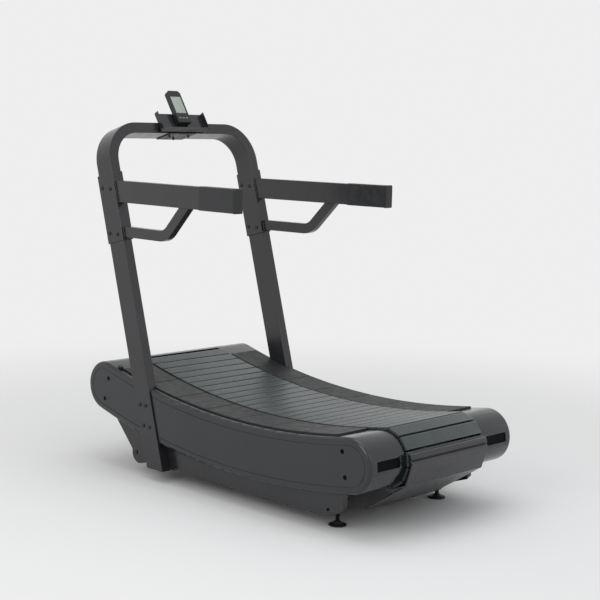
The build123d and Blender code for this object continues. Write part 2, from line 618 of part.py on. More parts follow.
def wheels():
    wheel = rod_y(WHEEL_X, WHEEL_Z, WHEEL_R, -WHEEL_Y - 12, -WHEEL_Y + 12)
    wheel = fillet([e for e in wheel.edges() if e.geom_type == GeomType.CIRCLE], 4)
    wheel -= rod_y(WHEEL_X, WHEEL_Z, 6.05, -WHEEL_Y - 13, -WHEEL_Y + 13)
    add_pair("transport_wheel", wheel)
    axle = rod_y(WHEEL_X, WHEEL_Z, 6.0, -SKIRT_Y - 2, -WHEEL_Y + 20)
    axle += rod_y(WHEEL_X, WHEEL_Z, 8.5, -SKIRT_Y - 4, -SKIRT_Y - 0.1)
    add("wheel_axles", both(axle))


# ---------------------------------------------------------------- console
def on_console(out, y, s):
    """Place something on the tray's leaning wall: out towards the runner, s up the wall."""
    x = TRAY_X + out * math.cos(CONSOLE_LEAN) - s * math.sin(CONSOLE_LEAN)
    z = TRAY_Z + out * math.sin(CONSOLE_LEAN) + s * math.cos(CONSOLE_LEAN)
    return Pos(x, y, z) * Rot(0, -math.degrees(CONSOLE_LEAN), 0)


def console_box(out0, out1, y0, y1, s0, s1):
    place = on_console((out0 + out1) / 2, (y0 + y1) / 2, (s0 + s1) / 2)
    return place * Box(out1 - out0, y1 - y0, s1 - s0)


def tray():
    """Folded sheet: a wall, a rising lip with a slot in it, and a flange at each end."""
    half = TRAY_W / 2
    wall = console_box(0, TRAY_T, -half, half, 0, TRAY_WALL)
    lip = Box(LIP_L, TRAY_W, TRAY_T) - Pos(-2, 0, 0) * Box(9, 54, TRAY_T + 2)
    lip = Pos(TRAY_X, 0, TRAY_Z) * Rot(0, -math.degrees(LIP_RISE), 0) * Pos(LIP_L / 2, 0, TRAY_T / 2) * lip
    sheet = wall + lip
    for side in (-1, 1):
        end = side * (half - TRAY_T / 2)
        flange = console_box(0, TRAY_FLANGE, end - TRAY_T / 2, end + TRAY_T / 2, 10, TRAY_WALL)
        sheet += flange
    return sheet - console_box(-1, TRAY_T + 1, -9, 9, 60, 78)


def button_box(index, extra):
    y = (index - 1) * BUTTON_STEP
    face = DISPLAY_FACE + (0 if extra else BUTTON_PROUD)
    return console_box(DISPLAY_FACE - BUTTON_T - (1.5 if extra else 0), face + (1 if extra else 0),
                       y - BUTTON_W / 2 - extra, y + BUTTON_W / 2 + extra,
                       BUTTON_S - BUTTON_H / 2 - extra, BUTTON_S + BUTTON_H / 2 + extra)


def display():
    back = DISPLAY_FACE - DISPLAY_T
    housing = Box(DISPLAY_T, DISPLAY_W, DISPLAY_S1 - DISPLAY_S0)
    corners = [e for e in housing.edges().filter_by(Axis.X) if e.center().Z > 0]
    housing = chamfer(corners, 11)
    housing = fillet(housing.faces().sort_by(Axis.X)[-1].edges(), 1.5)
    housing = on_console((back + DISPLAY_FACE) / 2, 0, (DISPLAY_S0 + DISPLAY_S1) / 2) * housing
    housing += console_box(TRAY_T, back, -16, 16, DISPLAY_S0 + 8, TRAY_WALL - 8)
    housing -= console_box(DISPLAY_FACE - SCREEN_T - 0.8, DISPLAY_FACE + 1, -SCREEN_W / 2 - 0.2, SCREEN_W / 2 + 0.2,
                           SCREEN_S0 - 0.2, SCREEN_S1 + 0.2)
    for k in range(3):
        housing -= button_box(k, BUTTON_FIT)
    return housing


def console():
    add("phone_tray", tray())
    add("display_housing", display())
    add("display_screen", console_box(DISPLAY_FACE - SCREEN_T - 0.8, DISPLAY_FACE - 0.8, -SCREEN_W / 2, SCREEN_W / 2,
                                      SCREEN_S0, SCREEN_S1))
    for k, where in enumerate(("left", "middle", "right")):
        add("button_" + where, button_box(k, 0))
    add("tray_clamp", clamp())


def clamp():
    """Bracket under the arch that holds the tray, with its bolts and a stop lever."""
    under = ARCH_TOP - (UP_Y1 - UP_Y0 + 3)
    plate = leaning(under - 2.1, 4, 0) * Box(UP_W + 8, 150, 3)
    lug = leaning(under + 1, UP_W / 2 + 2, 0) * Box(3, 40, 12)
    pieces = plate + lug
    for y in (-55, 0, 55):
        pieces += leaning(under - 8, 20 if y else -20, y) * Cylinder(4.5, 9)
    return pieces


def knob():
    """Turning knob with flutes on the left cover's shoulder, in front of the upright."""
    angle = math.asin((KNOB_X - ARC_X) / (MID_R - BAND_H))
    x, z = on_arc(MID_R - BAND_H - 0.4 - KNOB_H / 2, angle)
    grip = Cylinder(KNOB_R, KNOB_H)
    for k in range(12):
        a = k * math.pi / 6
        grip -= Pos(KNOB_R * 1.03 * math.cos(a), KNOB_R * 1.03 * math.sin(a), 2) * Cylinder(1.6, KNOB_H)
    return Pos(x, -KNOB_Y, z) * Rot(0, -math.degrees(angle), 0) * grip


def build():
    belt()
    drums()
    base_frame()
    covers()
    sleeve = posts()
    handrails(sleeve)
    fasteners()
    feet()
    wheels()
    console()
    add("side_knob", knob())
    os.makedirs("parts", exist_ok=True)
    for name, shape in PARTS.items():
        export_step(shape, "parts/" + name + ".step")
    print(len(PARTS), "nodes")


build()
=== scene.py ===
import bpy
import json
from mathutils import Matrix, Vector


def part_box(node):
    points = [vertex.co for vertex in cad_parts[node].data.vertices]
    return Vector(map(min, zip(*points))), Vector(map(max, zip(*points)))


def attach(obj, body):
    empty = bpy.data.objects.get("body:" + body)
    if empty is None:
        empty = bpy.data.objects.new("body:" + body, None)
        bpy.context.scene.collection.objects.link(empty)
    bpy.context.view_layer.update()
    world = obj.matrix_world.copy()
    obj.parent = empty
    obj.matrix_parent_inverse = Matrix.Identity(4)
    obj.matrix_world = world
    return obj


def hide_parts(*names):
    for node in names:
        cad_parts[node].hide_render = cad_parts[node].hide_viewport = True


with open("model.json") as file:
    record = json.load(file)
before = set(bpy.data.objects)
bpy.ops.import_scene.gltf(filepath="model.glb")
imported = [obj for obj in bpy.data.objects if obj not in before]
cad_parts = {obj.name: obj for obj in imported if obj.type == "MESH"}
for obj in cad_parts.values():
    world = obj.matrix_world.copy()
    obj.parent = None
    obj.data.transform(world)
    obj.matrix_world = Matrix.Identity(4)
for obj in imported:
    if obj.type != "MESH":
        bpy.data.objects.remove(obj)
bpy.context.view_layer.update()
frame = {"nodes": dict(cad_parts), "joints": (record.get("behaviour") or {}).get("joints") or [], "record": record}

import json
import math

import bmesh
import bpy
from mathutils import Matrix, Vector
from mathutils.bvhtree import BVHTree

# Curved manual treadmill. Metres, +Z up, the runner faces -X and their left is -Y.
RECORD = frame["record"]
BODY_OF = {node: body for body, nodes in RECORD["behaviour"]["bodies"].items() for node in nodes}
SLOT_OF = {part["node"]: part["material_slot"] for part in RECORD["subparts"]}
JOINT = {joint["name"]: joint for joint in frame["joints"]}
ARC_X, ARC_Z = JOINT["belt_travel"]["pos_m"][0], JOINT["belt_travel"]["pos_m"][2]
MM = 0.001


# ---------------------------------------------------------------- camera and light
CAMERA_AT = Vector((4.0040, -4.0098, 1.5156))
CAMERA_YAW, CAMERA_PITCH, CAMERA_ROLL = 2.3513, -0.1279, 0.0229
LENS_MM, SENSOR_MM = 81.77, 36.0
WORLD_LIGHT = 0.86
FLOOR_NEAR, FLOOR_FAR = 0.9, 4.5        # distances over which the floor fades into the backdrop
FLOOR_PAPER = (0.66, 0.66, 0.66)

# name, place, aim, width, height, watts, colour
LIGHTS = [
    ("overhead", (0.2, -0.4, 4.2), (0.1, 0, 0.4), 3.4, 2.4, 50, (0.95, 0.98, 1)),
    ("left_key", (0.6, -4.6, 2.6), (0, 0, 0.5), 2.6, 2.2, 62, (1, 0.985, 0.975)),
    ("rear_fill", (4.4, 1.6, 2.0), (0.2, 0, 0.5), 2.0, 2.4, 4, (0.92, 0.97, 1)),
    ("rim_strip", (3.6, 0.6, 3.0), (-0.2, 0, 1.0), 0.5, 2.6, 14, (0.82, 0.9, 1)),
]
FLOOR_SIZE = 160


def camera():
    cy, sy = math.cos(CAMERA_YAW), math.sin(CAMERA_YAW)
    cp, sp = math.cos(CAMERA_PITCH), math.sin(CAMERA_PITCH)
    forward = Vector((cy * cp, sy * cp, sp))
    level = Vector((sy, -cy, 0))
    above = level.cross(forward)
    right = level * math.cos(CAMERA_ROLL) + above * math.sin(CAMERA_ROLL)
    up = above * math.cos(CAMERA_ROLL) - level * math.sin(CAMERA_ROLL)
    data = bpy.data.cameras.new("camera")
    data.sensor_width, data.lens = SENSOR_MM, LENS_MM
    data.clip_end = 100
    made = bpy.data.objects.new("camera", data)
    turned = Matrix((right, up, -forward)).transposed().to_4x4()
    made.matrix_world = Matrix.Translation(CAMERA_AT) @ turned
    bpy.context.scene.collection.objects.link(made)
    bpy.context.scene.camera = made


def softbox(name, at, aim, width, height, watts, colour):
    data = bpy.data.lights.new(name, "AREA")
    data.shape = "RECTANGLE"
    data.size, data.size_y = width, height
    data.energy = watts
    data.color = colour
    made = bpy.data.objects.new(name, data)
    made.location = at
    made.rotation_euler = (Vector(aim) - Vector(at)).to_track_quat("-Z", "Y").to_euler()
    bpy.context.scene.collection.objects.link(made)


def studio():
    bpy.context.scene.view_settings.view_transform = "Standard"
    world = bpy.data.worlds.new("studio")
    world.use_nodes = True
    world.node_tree.nodes["Background"].inputs["Color"].default_value = (1, 1, 1, 1)
    world.node_tree.nodes["Background"].inputs["Strength"].default_value = WORLD_LIGHT
    bpy.context.scene.world = world
    for light in LIGHTS:
        softbox(*light)
    floor = new_piece("floor", grid_mesh("floor", FLOOR_SIZE, FLOOR_SIZE))
    shade(floor, FLOOR)


def grid_mesh(name, width, depth):
    mesh = bpy.data.meshes.new(name)
    x, y = width / 2, depth / 2
    mesh.from_pydata([(-x, -y, 0), (x, -y, 0), (x, y, 0), (-x, y, 0)], [], [(0, 1, 2, 3)])
    return mesh


# ---------------------------------------------------------------- materials
class Shader:
    """A principled material with the few nodes that every finish here is made from."""

    def __init__(self, name, roughness=0.5, metallic=0.0, **sockets):
        self.material = bpy.data.materials.new(name)
        self.material.use_nodes = True
        self.tree = self.material.node_tree
        self.surface = self.tree.nodes["Principled BSDF"]
        self.surface.inputs["Roughness"].default_value = roughness
        self.surface.inputs["Metallic"].default_value = metallic
        for label, value in sockets.items():
            self.surface.inputs[label.replace("_", " ")].default_value = value
        self.where = self.add("ShaderNodeTexCoord").outputs["Object"]
        self.normal = None

    def add(self, kind, settings=None, **inputs):
        node = self.tree.nodes.new(kind)
        for label, value in (settings or {}).items():
            setattr(node, label, value)
        for label, value in inputs.items():
            numbered = label[0] == "i" and label[1:].isdigit()
            socket = node.inputs[int(label[1:])] if numbered else node.inputs[label]
            if isinstance(value, bpy.types.NodeSocket):
                self.tree.links.new(value, socket)
            else:
                socket.default_value = value
        return node

    def stretched(self, x, y, z):
        return self.add("ShaderNodeMapping", Vector=self.where, Scale=(x, y, z)).outputs[0]

    def noise(self, scale, detail, where=None):
        where = where or self.where
        node = self.add("ShaderNodeTexNoise", Vector=where, Scale=scale, Detail=detail)
        return node.outputs["Fac"]

    def span(self, value, low, high, start=0.0, end=1.0):
        """A value between low and high becomes one between start and end."""
        node = self.add("ShaderNodeMapRange", Value=value)
        ends = {"From Min": low, "From Max": high, "To Min": start, "To Max": end}
        for label, number in ends.items():
            node.inputs[label].default_value = number
        return node.outputs[0]

    def maths(self, operation, a, b):
        return self.add("ShaderNodeMath", {"operation": operation}, i0=a, i1=b).outputs[0]

    def mixed(self, amount, dark, light):
        node = self.add("ShaderNodeMix", {"data_type": "RGBA"}, i0=amount)
        for slot, value in ((6, dark), (7, light)):
            if isinstance(value, bpy.types.NodeSocket):
                self.tree.links.new(value, node.inputs[slot])
            else:
                node.inputs[slot].default_value = (*value, 1)
        return node.outputs[2]

    def colour(self, value):
        self.tree.links.new(value, self.surface.inputs["Base Color"])

    def roughness(self, value):
        self.tree.links.new(value, self.surface.inputs["Roughness"])

    def bump(self, height, strength, distance):
        node = self.add("ShaderNodeBump", Height=height, Strength=strength, Distance=distance)
        if self.normal:
            self.tree.links.new(self.normal, node.inputs["Normal"])
        self.normal = node.outputs[0]
        self.tree.links.new(self.normal, self.surface.inputs["Normal"])

    def gap_shade_mask(self, distance):
        """Mask for painted shade: 0 deep in a gap, 1 where nothing stands within the distance."""
        node = self.add("ShaderNodeAmbientOcclusion", {"samples": 8}, Distance=distance)
        return self.span(node.outputs["AO"], 0.35, 0.8)

    def edges(self, radius):
        """1 on sharp outer edges, 0 on flat faces."""
        rounded = self.add("ShaderNodeBevel", {"samples": 4}, Radius=radius).outputs[0]
        flat = self.add("ShaderNodeNewGeometry").outputs["Normal"]
        dot = self.add("ShaderNodeVectorMath", {"operation": "DOT_PRODUCT"}, i0=rounded, i1=flat)
        return self.span(dot.outputs["Value"], 0.995, 0.86)


def shift(colour, amount):
    return tuple(min(1.0, c * amount) for c in colour)


def painted(name, colour, roughness, peel=0.10, wear=0.5, coat=0.0):
    """Powder-coated or sprayed metal: cloudy colour, fine grain, rubbed edges."""
    s = Shader(name, roughness, Specular_IOR_Level=0.45, Coat_Weight=coat, Coat_Roughness=0.2)
    cloud = s.span(s.noise(5, 4), 0.35, 0.65)
    base = s.mixed(cloud, shift(colour, 0.88), shift(colour, 1.12))
    speck = s.span(s.noise(420, 2), 0.56, 0.74)
    base = s.mixed(speck, base, shift(colour, 1.35))
    rub = s.maths("MULTIPLY", s.edges(0.0022), s.span(s.noise(38, 5), 0.42, 0.66, 0, wear))
    s.colour(s.mixed(rub, base, shift(colour, 2.6)))
    s.roughness(s.span(s.noise(24, 5), 0.25, 0.75, roughness - 0.07, roughness + 0.09))
    s.bump(s.noise(1100, 2), peel, 0.0004)
    s.bump(s.noise(9, 2), 0.04, 0.002)
    return s.material


def rubbery(name, colour, roughness, grain=700, depth=0.25, streak=None, gap_shade_reach=0.0, shine=0.42):
    """Moulded rubber or plastic with a fine grain; scuffs follow streak, and painted shade darkens the gaps."""
    s = Shader(name, roughness, Specular_IOR_Level=shine)
    scuff = s.noise(30, 6, s.stretched(*streak) if streak else None)
    base = s.mixed(s.span(s.noise(7, 4), 0.3, 0.7), shift(colour, 0.86), shift(colour, 1.14))
    base = s.mixed(s.span(scuff, 0.5, 0.78, 0, 0.6), base, shift(colour, 1.5))
    rub = s.maths("MULTIPLY", s.edges(0.0016), s.span(s.noise(60, 4), 0.4, 0.7, 0, 0.6))
    worn = s.mixed(rub, base, shift(colour, 1.9))
    # Painted shade: in gaps and crevices the colour falls nearly to black, where shade would fall.
    s.colour(s.mixed(s.gap_shade_mask(gap_shade_reach), shift(colour, 0.06), worn) if gap_shade_reach else worn)
    s.roughness(s.span(scuff, 0.3, 0.75, roughness - 0.08, roughness + 0.1))
    s.bump(s.noise(grain, 3), depth, 0.0004)
    return s.material


def machined(name, colour, roughness, streak=(4, 260, 4)):
    """Bare metal with turning or drawing marks."""
    s = Shader(name, roughness, metallic=1.0)
    line = s.noise(14, 4, s.stretched(*streak))
    s.colour(s.mixed(s.span(line, 0.3, 0.7), shift(colour, 0.72), colour))
    s.roughness(s.span(s.noise(30, 5), 0.3, 0.7, roughness - 0.08, roughness + 0.12))
    s.bump(line, 0.15, 0.0003)
    return s.material


def lcd(name):
    """Unlit liquid-crystal panel: dull grey-green, with the faint grid of its cells."""
    s = Shader(name, 0.16, Specular_IOR_Level=0.6, Coat_Weight=0.6, Coat_Roughness=0.04)
    cells = s.add("ShaderNodeTexBrick", {"offset": 0.0}, Vector=s.stretched(1, 1, 1), Scale=90.0)
    cells.inputs["Color1"].default_value = (0.235, 0.270, 0.235, 1)
    cells.inputs["Color2"].default_value = (0.250, 0.285, 0.250, 1)
    cells.inputs["Mortar"].default_value = (0.205, 0.235, 0.205, 1)
    cells.inputs["Mortar Size"].default_value = 0.03
    haze = s.span(s.noise(14, 3), 0.3, 0.7, 0, 0.5)
    s.colour(s.mixed(haze, cells.outputs["Color"], (0.30, 0.335, 0.30)))
    s.roughness(s.span(s.noise(50, 4), 0.3, 0.7, 0.12, 0.22))
    return s.material


def floor_finish():
    """Pale paper floor that takes on the backdrop's brightness away from the machine."""
    s = Shader("floor_paper", 1.0, Specular_IOR_Level=0.0, Emission_Color=(1, 1, 1, 1))
    flat = s.add("ShaderNodeVectorMath", {"operation": "MULTIPLY"}, i0=s.where, i1=(1, 1, 0))
    reach = s.add("ShaderNodeVectorMath", {"operation": "LENGTH"}, i0=flat.outputs[0])
    fade = s.add("ShaderNodeMapRange", {"interpolation_type": "SMOOTHERSTEP"},
                 Value=reach.outputs["Value"])
    fade.inputs["From Min"].default_value = FLOOR_NEAR
    fade.inputs["From Max"].default_value = FLOOR_FAR
    s.colour(s.mixed(fade.outputs[0], FLOOR_PAPER, (0, 0, 0)))
    glow = s.maths("MULTIPLY", fade.outputs[0], WORLD_LIGHT)
    s.tree.links.new(glow, s.surface.inputs["Emission Strength"])
    return s.material


FLOOR = floor_finish()
FINISH = {
    "grip": rubbery("grip_rubber", (0.0112, 0.0118, 0.0134), 0.30, 1200, 0.08),
    # Black plastic made almost pure black and shineless: painted shade that stands in for the dark of recesses.
    "recess_shade": rubbery("recess_shade_plastic", (0.0012, 0.0012, 0.0013), 0.5, 1200, 0.1, shine=0.06),
    # Slats: painted shade darkens the gaps between them, within 12 mm.
    "slat": rubbery("slat_rubber", (0.046, 0.055, 0.055), 0.34, 900, 0.18, (30, 2, 30), 12 * MM),
    "drive_belt": rubbery("belt_rubber", (0.006, 0.006, 0.006), 0.7),
    "bare_steel": machined("turned_steel", (0.55, 0.55, 0.56), 0.32),
    "cast_aluminium": machined("cast_aluminium", (0.50, 0.50, 0.51), 0.48, (60, 60, 60)),
    "black_frame": painted("chassis_paint", (0.006, 0.006, 0.0065), 0.45, 0.2),
    "cover_plastic": painted("cover_paint", (0.0070, 0.0100, 0.0115), 0.22, 0.06, 0.35, 0.25),
    "tread": rubbery("tread_rubber", (0.0088, 0.0096, 0.0108), 0.50, 800, 0.3),
    "frame_paint": painted("frame_paint", (0.0122, 0.0126, 0.0146), 0.24, 0.06, 0.6, 0.2),
    "black_plastic": rubbery("black_plastic", (0.0062, 0.0070, 0.0076), 0.36, 1200, 0.12),
    "button_rubber": rubbery("button_rubber", (0.13, 0.145, 0.14), 0.5, 1500, 0.1),
    "screen": lcd("lcd_panel"),
    "fastener": painted("black_oxide", (0.006, 0.006, 0.007), 0.30, 0.05, 0.8),
    "foot_rubber": rubbery("foot_rubber", (0.005, 0.005, 0.005), 0.6, 600, 0.3),
}


# Nodes whose finish differs from that of their slot; the rear inserts and cover screws take the near-black finish
# of painted recess shade.
OWN_FINISH = {"grips": "grip", "rear_inserts": "recess_shade", "cover_screws": "recess_shade",
              "wheel_axles": "fastener"}


def shade(piece, material):
    piece.data.materials.clear()
    piece.data.materials.append(material)


# ---------------------------------------------------------------- mesh helpers
JOIN_DISTANCE = 5e-6                    # points this close become one
FLAT_ANGLE = math.radians(0.5)          # faces within this angle become one
BEVEL_SEGMENTS, BEVEL_ANGLE = 3, math.radians(32)


def new_piece(name, mesh):
    made = bpy.data.objects.new(name, mesh)
    bpy.context.scene.collection.objects.link(made)
    return made


def stand_for(piece, node, finish=None):
    """The piece takes a CAD node's place, body and material slot."""
    shade(piece, FINISH[finish or SLOT_OF[node]])
    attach(piece, BODY_OF[node])
    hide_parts(node)


def smooth(bm, name, angle):
    """Finishes a bmesh: smooth faces that break at sharp edges."""
    bmesh.ops.recalc_face_normals(bm, faces=bm.faces)
    for face in bm.faces:
        face.smooth = True
    limit = math.radians(angle)
    for edge in bm.edges:
        edge.smooth = len(edge.link_faces) != 2 or edge.calc_face_angle(0) < limit
    mesh = bpy.data.meshes.new(name)
    bm.to_mesh(mesh)
    bm.free()
    return mesh


def welded(node):
    """A CAD node's mesh with its faces joined up."""
    bm = bmesh.new()
    bm.from_mesh(frame["nodes"][node].data)
    bmesh.ops.remove_doubles(bm, verts=bm.verts, dist=JOIN_DISTANCE)
    return bm


def islands(node):
    """The points of each separate solid in a CAD node."""
    bm = welded(node)
    left = set(bm.verts)
    groups = []
    while left:
        stack = [left.pop()]
        group = []
        while stack:
            vert = stack.pop()
            group.append(vert.co.copy())
            for edge in vert.link_edges:
                other = edge.other_vert(vert)
                if other in left:
                    left.remove(other)
                    stack.append(other)
        groups.append(group)
    bm.free()
    return groups


def softened(node, radius):
    """A CAD piece with its sharp edges rounded."""
    bm = welded(node)
    bmesh.ops.dissolve_limit(bm, angle_limit=FLAT_ANGLE, verts=bm.verts, edges=bm.edges)
    piece = new_piece(node + "_body", smooth(bm, node + "_body", 60))
    bevel = piece.modifiers.new("rounded", "BEVEL")
    bevel.width = radius
    bevel.segments = BEVEL_SEGMENTS
    bevel.limit_method = "ANGLE"
    bevel.angle_limit = BEVEL_ANGLE
    bevel.harden_normals = True
    bevel.miter_outer = "MITER_ARC"
    stand_for(piece, node, OWN_FINISH.get(node))


def lathe(bm, profile, place, segments, flute=None):
    """Turns a profile of (radius, height) about Z, optionally with flutes, and puts it at place."""
    rings = []
    for radius, height in profile:
        ring = []
        for k in range(segments):
            turn = 2 * math.pi * k / segments
            r = radius * (1 + flute(turn, radius)) if flute else radius
            at = Vector((r * math.cos(turn), r * math.sin(turn), height))
            ring.append(bm.verts.new(place @ at))
        rings.append(ring)
    for low, high in zip(rings, rings[1:]):
        for k in range(segments):
            j = (k + 1) % segments
            bm.faces.new((low[k], low[j], high[j], high[k]))
    bm.faces.new(reversed(rings[0]))
    bm.faces.new(rings[-1])


def centre(points):
    low = Vector(min(p[i] for p in points) for i in range(3))
    high = Vector(max(p[i] for p in points) for i in range(3))
    return (low + high) / 2, high - low


def along_y(at):
    """Placement that stands a turned piece's axis along +Y."""
    return Matrix.Translation(at) @ Matrix.Rotation(-math.pi / 2, 4, "X")


# ---------------------------------------------------------------- belt
SLAT_GROOVES, GROOVE_DEEP, GROOVE_WIDE = 6, 0.7 * MM, 1.3 * MM
SLAT_SHOULDER, SLAT_CHAMFER, SLAT_END = 2.6 * MM, 1.5 * MM, 2 * MM
SLAT_END_THICK = 0.9                    # share of the thickness left at a slat's ends


def slat_profile(width, thick):
    """Closed outline (across, up) with rounded shoulders and a grooved top."""
    half, top, edge = width / 2, thick / 2, SLAT_SHOULDER
    line = [(-half, -top + SLAT_CHAMFER), (-half, top - edge),
            (-half + 0.25 * edge, top - 0.25 * edge), (-half + edge, top)]
    step = (width - 2 * edge) / (SLAT_GROOVES + 1)
    for k in range(1, SLAT_GROOVES + 1):
        mid = -half + edge + k * step
        line += [(mid - GROOVE_WIDE / 2, top), (mid - GROOVE_WIDE / 4, top - GROOVE_DEEP),
                 (mid + GROOVE_WIDE / 4, top - GROOVE_DEEP), (mid + GROOVE_WIDE / 2, top)]
    line += [(half - edge, top), (half - 0.25 * edge, top - 0.25 * edge), (half, top - edge),
             (half, -top + SLAT_CHAMFER), (half - SLAT_CHAMFER, -top), (-half + SLAT_CHAMFER, -top)]
    return line


def slat_axes(points, inside):
    """Centre, width direction, outward direction, width, thickness and length of one slat."""
    mid, size = centre(points)
    xx = sum((p.x - mid.x) ** 2 for p in points)
    zz = sum((p.z - mid.z) ** 2 for p in points)
    xz = sum((p.x - mid.x) * (p.z - mid.z) for p in points)
    turn = 0.5 * math.atan2(2 * xz, xx - zz)
    across = Vector((math.cos(turn), 0, math.sin(turn)))
    out = Vector((-across.z, 0, across.x))
    if out.dot(mid - inside) < 0:
        out = -out
    wide = [(p - mid).dot(across) for p in points]
    deep = [(p - mid).dot(out) for p in points]
    return mid, across, out, max(wide) - min(wide), max(deep) - min(deep), size.y


def slats():
    rear = Vector(JOINT["rear_drum_turn"]["pos_m"])
    front = Vector(JOINT["front_drum_turn"]["pos_m"])
    for node in ("slats_top_run", "slats_rear_turn", "slats_return_run", "slats_front_turn"):
        bm = bmesh.new()
        for points in islands(node):
            share = (centre(points)[0].x - front.x) / (rear.x - front.x)
            share = min(1, max(0, share))
            mid, across, out, width, thick, length = slat_axes(points, front.lerp(rear, share))
            outline = slat_profile(width, thick)
            ends = []
            for y, shrink in ((-length / 2, SLAT_END_THICK), (-length / 2 + SLAT_END, 1),
                              (length / 2 - SLAT_END, 1), (length / 2, SLAT_END_THICK)):
                narrow = 1 - (1 - shrink) * 0.3
                ends.append([bm.verts.new(mid + across * a * narrow + out * u * shrink
                                          + Vector((0, y, 0))) for a, u in outline])
            count = len(outline)
            for low, high in zip(ends, ends[1:]):
                for k in range(count):
                    j = (k + 1) % count
                    bm.faces.new((low[k], low[j], high[j], high[k]))
            bm.faces.new(ends[0])
            bm.faces.new(reversed(ends[-1]))
        stand_for(new_piece(node + "_ribbed", smooth(bm, node + "_ribbed", 28)), node)


# ---------------------------------------------------------------- foot boards
TREAD_STEP, TREAD_PITCH, TREAD_HIGH, TREAD_EDGE = 2.5 * MM, 11 * MM, 0.8 * MM, 3.5 * MM
TREAD_DROP = 0.9 * MM


def tread_height(along, across, rim):
    """Diamond tread that fades to a lower plain border."""
    a = math.sin(math.pi * (along + across) / TREAD_PITCH)
    b = math.sin(math.pi * (along - across) / TREAD_PITCH)
    diamond = min(1, 1.25 * abs(a * b))
    border = min(1, rim / TREAD_EDGE)
    return TREAD_HIGH * (diamond * border - 1) - TREAD_DROP * (1 - border) ** 2


def cuts(low, high, step, extra):
    """Even cuts from low to high, with the extra ones put in."""
    count = max(1, round((high - low) / step))
    marks = [low + (high - low) * k / count for k in range(count + 1)]
    for mark in extra:
        if low < mark < high:
            near = min(range(len(marks)), key=lambda k: abs(marks[k] - mark))
            marks[near] = mark
    return marks


def foot_boards():
    for side in ("left", "right"):
        node = "foot_pads_" + side
        sign = -1 if side == "left" else 1
        bm = bmesh.new()
        for points in islands(node):
            polar = [(math.hypot(p.x - ARC_X, p.z - ARC_Z), math.atan2(p.x - ARC_X, ARC_Z - p.z))
                     for p in points]
            r_top, r_low = min(r for r, _ in polar), max(r for r, _ in polar)
            a0, a1 = min(a for _, a in polar), max(a for _, a in polar)
            y0, y1 = min(abs(p.y) for p in points), max(abs(p.y) for p in points)
            inner_cut = max([abs(p.y) for p in points if abs(p.y) < y1 - 1 * MM])
            notched = inner_cut > y0 + 20 * MM
            notch = [a for (_, a), p in zip(polar, points)
                     if notched and abs(abs(p.y) - inner_cut) < 0.5 * MM]
            marks_a = cuts(a0, a1, TREAD_STEP / r_top, notch and (min(notch), max(notch)))
            marks_y = cuts(y0, y1, TREAD_STEP, (inner_cut,) if notched else ())
            top = {}

            def in_notch(a, y):
                return bool(notch) and min(notch) < a < max(notch) and y > inner_cut

            def vert(i, j):
                if (i, j) not in top:
                    a, y = marks_a[i], marks_y[j]
                    rim = min((a - a0) * r_top, (a1 - a) * r_top, y - y0, y1 - y)
                    r = r_top - tread_height(a * r_top, y, rim)
                    spot = (ARC_X + r * math.sin(a), sign * y, ARC_Z - r * math.cos(a))
                    top[i, j] = bm.verts.new(spot)
                return top[i, j]
            faces = []
            for i in range(len(marks_a) - 1):
                for j in range(len(marks_y) - 1):
                    if in_notch((marks_a[i] + marks_a[i + 1]) / 2,
                                (marks_y[j] + marks_y[j + 1]) / 2):
                        continue
                    corners = (vert(i, j), vert(i + 1, j), vert(i + 1, j + 1), vert(i, j + 1))
                    faces.append(bm.faces.new(corners))
            rim_edges = [e for e in {e for f in faces for e in f.edges} if len(e.link_faces) == 1]
            walls = bmesh.ops.extrude_edge_only(bm, edges=rim_edges)["geom"]
            for v in (g for g in walls if isinstance(g, bmesh.types.BMVert)):
                a = math.atan2(v.co.x - ARC_X, ARC_Z - v.co.z)
                v.co.x, v.co.z = ARC_X + r_low * math.sin(a), ARC_Z - r_low * math.cos(a)
            low_edges = [g for g in walls
                         if isinstance(g, bmesh.types.BMEdge) and len(g.link_faces) == 1]
            bmesh.ops.holes_fill(bm, edges=low_edges, sides=0)
        stand_for(new_piece(node + "_tread", smooth(bm, node + "_tread", 50)), node)


# ---------------------------------------------------------------- small turned pieces
KNOB_R, KNOB_HALF = 13 * MM, 6 * MM


def pad_lobes(turn, radius):
    """Ten shallow lobes round the rim of a foot's pad."""
    return -0.045 * (0.5 + 0.5 * math.cos(10 * turn)) * (radius > 30 * MM)


def knob_flutes(turn, radius):
    """Twelve flutes round the knob's rim."""
    return -0.07 * (math.cos(12 * turn) > 0.35) * (radius > 0.9 * KNOB_R)


def feet():
    """Levelling foot: lobed rubber-faced pad, cone and threaded stud."""
    for end in ("rear", "front"):
        for side in ("left", "right"):
            node = "foot_%s_%s" % (end, side)
            low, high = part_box(node)
            at = Matrix.Translation(((low.x + high.x) / 2, (low.y + high.y) / 2, 0))
            rim = (high.x - low.x) / 2
            bm = bmesh.new()
            pad = [(rim - 2.5 * MM, 0), (rim - 0.4 * MM, 1.2 * MM), (rim, 3 * MM),
                   (rim - 0.6 * MM, 5 * MM), (rim - 3 * MM, 6.8 * MM), (rim - 12 * MM, 7.6 * MM),
                   (20 * MM, 8.4 * MM), (15 * MM, 15.4 * MM), (12.5 * MM, 16 * MM)]
            lathe(bm, pad, at, 96, pad_lobes)
            stud = [(6.6 * MM, 15.5 * MM)]
            pitch, z = 2 * MM, 20 * MM
            while z < high.z - 3 * MM:
                stud += [(8 * MM, z), (6.9 * MM, z + pitch / 2)]
                z += pitch
            stud += [(6.5 * MM, high.z)]
            lathe(bm, stud, at, 32)
            stand_for(new_piece(node + "_turned", smooth(bm, node + "_turned", 35)), node)


